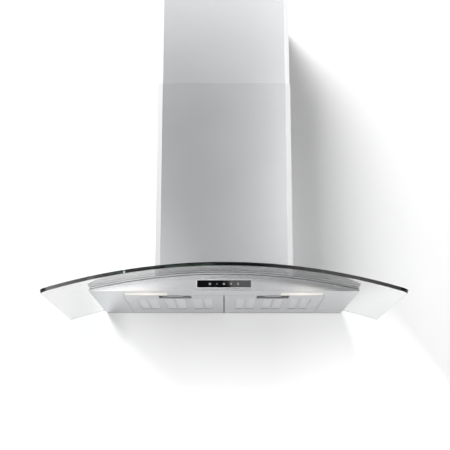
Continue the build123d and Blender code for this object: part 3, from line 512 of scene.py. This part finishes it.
def ribbon(mesh, middle, points, width=LINE, closed=False):
    """A printed line on the control glass through points (x, z) from a middle."""
    count = len(points)
    left, right = [], []
    for i, (x, z) in enumerate(points):
        before = points[i - 1] if i or closed else points[i]
        after = points[(i + 1) % count] if i < count - 1 or closed else points[i]
        dx, dz = after[0] - before[0], after[1] - before[1]
        length = hypot(dx, dz)
        nx, nz = -dz / length * width / 2, dx / length * width / 2
        left.append((x + nx, z + nz))
        right.append((x - nx, z - nz))
    back_left, back_right, front_left, front_right = (
        [mesh.verts.new((middle.x + x, middle.y - rise, middle.z + z)) for x, z in side]
        for rise in (0.0, PRINT_THICKNESS)
        for side in (left, right)
    )
    for i in range(count if closed else count - 1):
        j = (i + 1) % count
        mesh.faces.new((front_left[i], front_right[i], front_right[j], front_left[j]))
        mesh.faces.new((back_left[j], back_right[j], back_right[i], back_left[i]))
        mesh.faces.new((front_left[j], back_left[j], back_left[i], front_left[i]))
        mesh.faces.new((front_right[i], back_right[i], back_right[j], front_right[j]))
    if not closed:
        mesh.faces.new((front_left[0], back_left[0], back_right[0], front_right[0]))
        mesh.faces.new((front_left[-1], front_right[-1], back_right[-1], back_left[-1]))


def icon(mesh, middle, strokes):
    for stroke in strokes:
        ribbon(mesh, middle, *stroke)


printed = make_print()
for index, (name, strokes) in enumerate(ICONS.items()):
    x = (index - len(ICONS) // 2) * ICON_PITCH
    middle = Vector((x, control_low.y, (control_low.z + control_high.z) / 2))
    piece("icon_" + name, "canopy", "white_plastic", printed, icon, middle, strokes)


# ------------------------------------------------ expanded mesh in the filters' windows

WINDOW_WIDTH = 0.024
WINDOW_FRONT = -0.274
WINDOW_REAR = -0.088
PAIR_PITCH = 0.029  # between the two windows of a pair
GROUP_PITCH = 0.074  # between the pairs
MESH_LEVEL = -0.1984
MESH_BORDER = 0.003  # hidden behind the window's rim
STRAND = 0.0013
STRAND_RISE = 0.0002
SHEET_THICKNESS = 0.00025


def strand(mesh, middle, mirror, rows):
    """One tilted zigzag strand along a window. Its mirror image closes the diamonds."""
    pairs = []
    for row in range(2 * rows + 1):
        odd = row % 2
        x = middle + mirror * MESH_SHORT / 4 * (1 if odd else -1)
        y = WINDOW_FRONT - MESH_BORDER + row * MESH_LONG / 2
        z = MESH_LEVEL + odd * STRAND_RISE
        low = mesh.verts.new((x - STRAND / 2, y, z))
        pairs.append((low, mesh.verts.new((x + STRAND / 2, y, z + STRAND_RISE))))
    for (a, b), (c, d) in zip(pairs, pairs[1:]):
        mesh.faces.new((a, b, d, c))


def facing(mesh, centres):
    """Strands that fill each window with diamonds, as slit and stretched sheet has."""
    columns = int((WINDOW_WIDTH + 2 * MESH_BORDER) / MESH_SHORT) + 1
    rows = int((WINDOW_REAR - WINDOW_FRONT + 2 * MESH_BORDER) / MESH_LONG) + 1
    for centre in centres:
        for column in range(columns):
            middle = centre + (column + 0.5 - columns / 2) * MESH_SHORT
            for mirror in (-1, 1):
                strand(mesh, middle + mirror * MESH_SHORT / 4, mirror, rows)


for side_name in ("left", "right"):
    low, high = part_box("filter_frame_" + side_name)
    filter_middle = (low.x + high.x) / 2
    centres = [
        filter_middle + group * GROUP_PITCH + pair * PAIR_PITCH / 2
        for group in (-1, 0, 1)
        for pair in (-1, 1)
    ]
    sheet_piece = piece(
        "filter_facing_" + side_name,
        "filter_" + side_name,
        "mesh_aluminium",
        LOOKS["mesh_aluminium"],
        facing,
        centres,
    )
    sheet = sheet_piece.modifiers.new("sheet", "SOLIDIFY")
    sheet.thickness = SHEET_THICKNESS
    sheet.offset = 0


# ------------------------------------------------ leaf springs behind the latches, copied onto the filters

for side_name in ("left", "right"):
    spring_node = "latch_spring_" + side_name
    low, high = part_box(spring_node)
    leaf = nodes[spring_node].copy()
    leaf.data = nodes[spring_node].data.copy()
    leaf.name = "spring_leaf_" + side_name
    scene.collection.objects.link(leaf)
    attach(leaf, "filter_" + side_name)
    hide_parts(spring_node)
    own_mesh(leaf)


# ------------------------------------------------ wall and floor

WALL_Y = 0.0015
WALL_TOP = 5
FLOOR_Z = -1.85
STAGE_WIDE = 6  # to either side
STAGE_DEEP = 7  # to front and back
CLEARANCE = 0.008  # a reflection that meets the wall sooner passes it, so the back has its shine
SHADOW_SLANT = 0.69  # how far the key light's shadow shifts in X for its height
SHADOW_FOOT = -0.2

# Glow of the wall itself, for the light that a white room throws into the object's shadow. A patch
# is the product of its ramps, as in Nodes.ramps, and the patches add up.
IN_SHADOW = (("X", (0.0, 1.0), (-0.39, -0.27)), ("slant", (1.0, 0.0), (0.38, 0.52)))
WALL_GLOW = {
    "shadow under the object": (
        ("Z", (1.0, 0.0), (-0.20, -0.08)),
        *IN_SHADOW,
        ("|X|", (0.27, 0.39), (0.14, 0.34)),
    ),
    "foot of the wall": (("Z", (0.18, 0.05), (-0.75, -0.40)),),
    "foot of the shadow": (("Z", (0.40, 0.0), (-0.46, -0.20)), *IN_SHADOW),
    "shadow of the chimney": (
        ("Z", (0.15, 0.0), (0.0, 0.45)),
        ("Z", (0.0, 1.0), (-0.25, -0.12)),
        ("X", (1.0, 0.0), (0.20, 0.34)),
        ("X", (0.0, 1.0), (0.0, 0.001)),
    ),
}


def make_wall():
    """White wall seen from its front only, so that the back of the object can be looked at."""
    s = Shader("stage_wall")
    x, _, z = s.axes()
    slant = s.math("MULTIPLY_ADD", s.math("SUBTRACT", z, SHADOW_FOOT), SHADOW_SLANT, x)
    parts = {"X": x, "Z": z, "|X|": s.math("ABSOLUTE", x), "slant": slant}
    s.set(
        base_color=(0.93, 0.93, 0.93),
        roughness=0.9,
        specular_ior_level=0.0,
        emission_color=(1.0, 1.0, 1.0),
        emission_strength=s.total(s.ramps(parts, patch) for patch in WALL_GLOW.values()),
    )
    front = s.math("SUBTRACT", 1.0, s.new("NewGeometry").outputs["Backfacing"])
    clear = s.math("GREATER_THAN", s.new("LightPath").outputs["Ray Length"], CLEARANCE)
    shine = s.math("MULTIPLY", s.path("Glossy"), clear)
    seen = s.math("MULTIPLY", s.math("MAXIMUM", s.path("Camera", "Transmission"), shine), front)
    s.surface(s.mix(seen, s.new("BsdfTransparent").outputs[0], s.principled.outputs[0]))
    return s.material


def make_floor():
    """Pale floor, paler for the camera than for the light that it throws on the object."""
    s = Shader("stage_floor")
    s.set(
        base_color=s.blend(s.path("Camera"), (0.50, 0.50, 0.50), (0.86, 0.86, 0.86)),
        roughness=0.8,
        specular_ior_level=0.0,
    )
    return s.material


def stage_plane(name, low, high, material):
    """A rectangle between two opposite corners, with two of its sides along X."""
    corners = [low, (high[0], *low[1:]), high, (low[0], *high[1:])]
    data = bpy.data.meshes.new(name)
    data.from_pydata(corners, [], [(0, 1, 2, 3)])
    obj = bpy.data.objects.new(name, data)
    scene.collection.objects.link(obj)
    data.materials.append(material)


stage_plane(
    "wall", (-STAGE_WIDE, WALL_Y, FLOOR_Z), (STAGE_WIDE, WALL_Y, WALL_TOP), make_wall()
)
stage_plane(
    "floor", (-STAGE_WIDE, -STAGE_DEEP, FLOOR_Z), (STAGE_WIDE, STAGE_DEEP, FLOOR_Z), make_floor()
)


# ------------------------------------------------ world

AMBIENT = 0.26  # strength of the soft light from all round

# What metal and glass reflect, over the parts of the direction looked in. A panel is the product of
# its ramps, as in Nodes.ramps, and the panels of the room in front add up.
AHEAD = (("Y", (1.0, 0.0), (-0.80, -0.25)),)
LEFT_END = ("X", (0.08, 1.0), (-0.38, -0.25))
FRONT_PANELS = {
    "bar overhead": (
        ("Z", (0.0, 2.9), (0.41, 0.49)),
        ("Z", (1.0, 0.20), (0.49, 0.56)),
        ("|X|", (1.0, 0.0), (0.22, 0.36)),
    ),
    "left, low": (("X", (4.5, -0.2), (-0.22, -0.035)), ("Z", (1.0, 0.0), (0.14, 0.22)), LEFT_END),
    "left, high": (("X", (2.2, 0.0), (-0.20, -0.12)), ("Z", (1.0, 0.0), (0.20, 0.32)), LEFT_END),
    "right": (
        ("X", (0.0, 2.7), (0.035, 0.14)),
        ("Z", (0.0, 1.0), (0.14, 0.22)),
        ("Z", (1.9, 0.15), (0.20, 0.44)),
        ("X", (1.0, 0.12), (0.25, 0.42)),
    ),
    "walls": (("Z", (0.17, 0.40), (0.16, 0.22)),),
    "ceiling": (("Z", (0.0, -0.24), (0.24, 0.31)),),
    "floor": (("Z", (0.20, 0.0), (0.02, 0.14)),),
}
SIDE_WALLS = (
    ("X", (1.5, 2.3), (-0.3, 0.3)),
    ("Z", (0.38, 1.2), (-0.02, 0.20)),
    ("Y", (1.0, 0.4), (0.3, 0.7)),
)

# A small hard-edged panel ahead, whose left side leans: it gives the control glass its reflection
STRIP_STRENGTH = 2.2
STRIP_LEAN = 0.35
STRIP_LIMITS = {"X": (-0.01, 0.06), "Z": (0.14, 0.18)}
STRIP_LEFT = 0.0635


def make_world():
    """White for the camera, plain soft light for the object, and a studio in its shine."""
    world = bpy.data.worlds.new("studio")
    scene.world = world
    world.use_nodes = True
    world.cycles.sampling_method = "NONE"  # the light from all round is even
    s = Nodes(world.node_tree, "OutputWorld", "Generated")
    x, y, z = s.axes()
    parts = {"X": x, "Y": y, "Z": z, "|X|": s.math("ABSOLUTE", x)}
    lean = s.math("ADD", x, s.math("MULTIPLY", z, STRIP_LEAN))
    strip = s.math("GREATER_THAN", lean, STRIP_LEFT)
    for part, (low, high) in STRIP_LIMITS.items():
        strip = s.math("MULTIPLY", strip, s.math("GREATER_THAN", parts[part], low))
        strip = s.math("MULTIPLY", strip, s.math("LESS_THAN", parts[part], high))
    panels = [s.ramps(parts, panel) for panel in FRONT_PANELS.values()]
    front = s.total([*panels, s.math("MULTIPLY", strip, STRIP_STRENGTH)])
    sides = s.ramps(parts, SIDE_WALLS)
    ahead = s.ramps(parts, AHEAD)
    shine = s.math("MULTIPLY_ADD", ahead, s.math("SUBTRACT", front, sides), sides)
    surface = None
    for rays, strength in (
        (None, AMBIENT),
        (s.path("Glossy"), shine),
        (s.path("Camera", "Transmission"), 1.0),
    ):
        background = s.new("Background", Color=(1.0, 1.0, 1.0), Strength=strength).outputs[0]
        surface = s.mix(rays, surface, background) if surface else background
    s.put(surface, s.output.inputs["Surface"])


make_world()


# ------------------------------------------------ light

KEY_AZIMUTH = radians(37.5)  # to the left of straight in front
KEY_HEIGHT = radians(41.5)
KEY_DISTANCE = 6.0
KEY_SIZE = 3.4
KEY_POWER = 600
low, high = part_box("lower_chimney_cover")
corner = Vector((high.x, low.y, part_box("upper_chimney_cover")[1].z))
key_direction = Vector(
    (-sin(KEY_AZIMUTH) * cos(KEY_HEIGHT), -cos(KEY_AZIMUTH) * cos(KEY_HEIGHT), sin(KEY_HEIGHT))
)
key_data = bpy.data.lights.new("key", "AREA")
key_data.size = KEY_SIZE
key_data.energy = KEY_POWER
key = bpy.data.objects.new("key", key_data)
key.location = corner + key_direction * KEY_DISTANCE
key.rotation_euler = key_direction.to_track_quat("Z", "Y").to_euler()
key.visible_camera = False
key.visible_glossy = False
scene.collection.objects.link(key)


# ------------------------------------------------ camera

IMAGE = 450
FOCAL_PIXELS = 979.0
SENSOR = 36.0
EYE = Vector((0.0, -2.848, -0.5915))
PITCH = radians(12.98)
YAW = radians(-0.058)
camera_data = bpy.data.cameras.new("camera")
camera_data.sensor_width = SENSOR
camera_data.lens = FOCAL_PIXELS / IMAGE * SENSOR
camera = bpy.data.objects.new("camera", camera_data)
camera.location = EYE
camera.rotation_euler = (pi / 2 + PITCH, 0, YAW)
scene.collection.objects.link(camera)
scene.camera = camera

scene.view_settings.view_transform = "Standard"
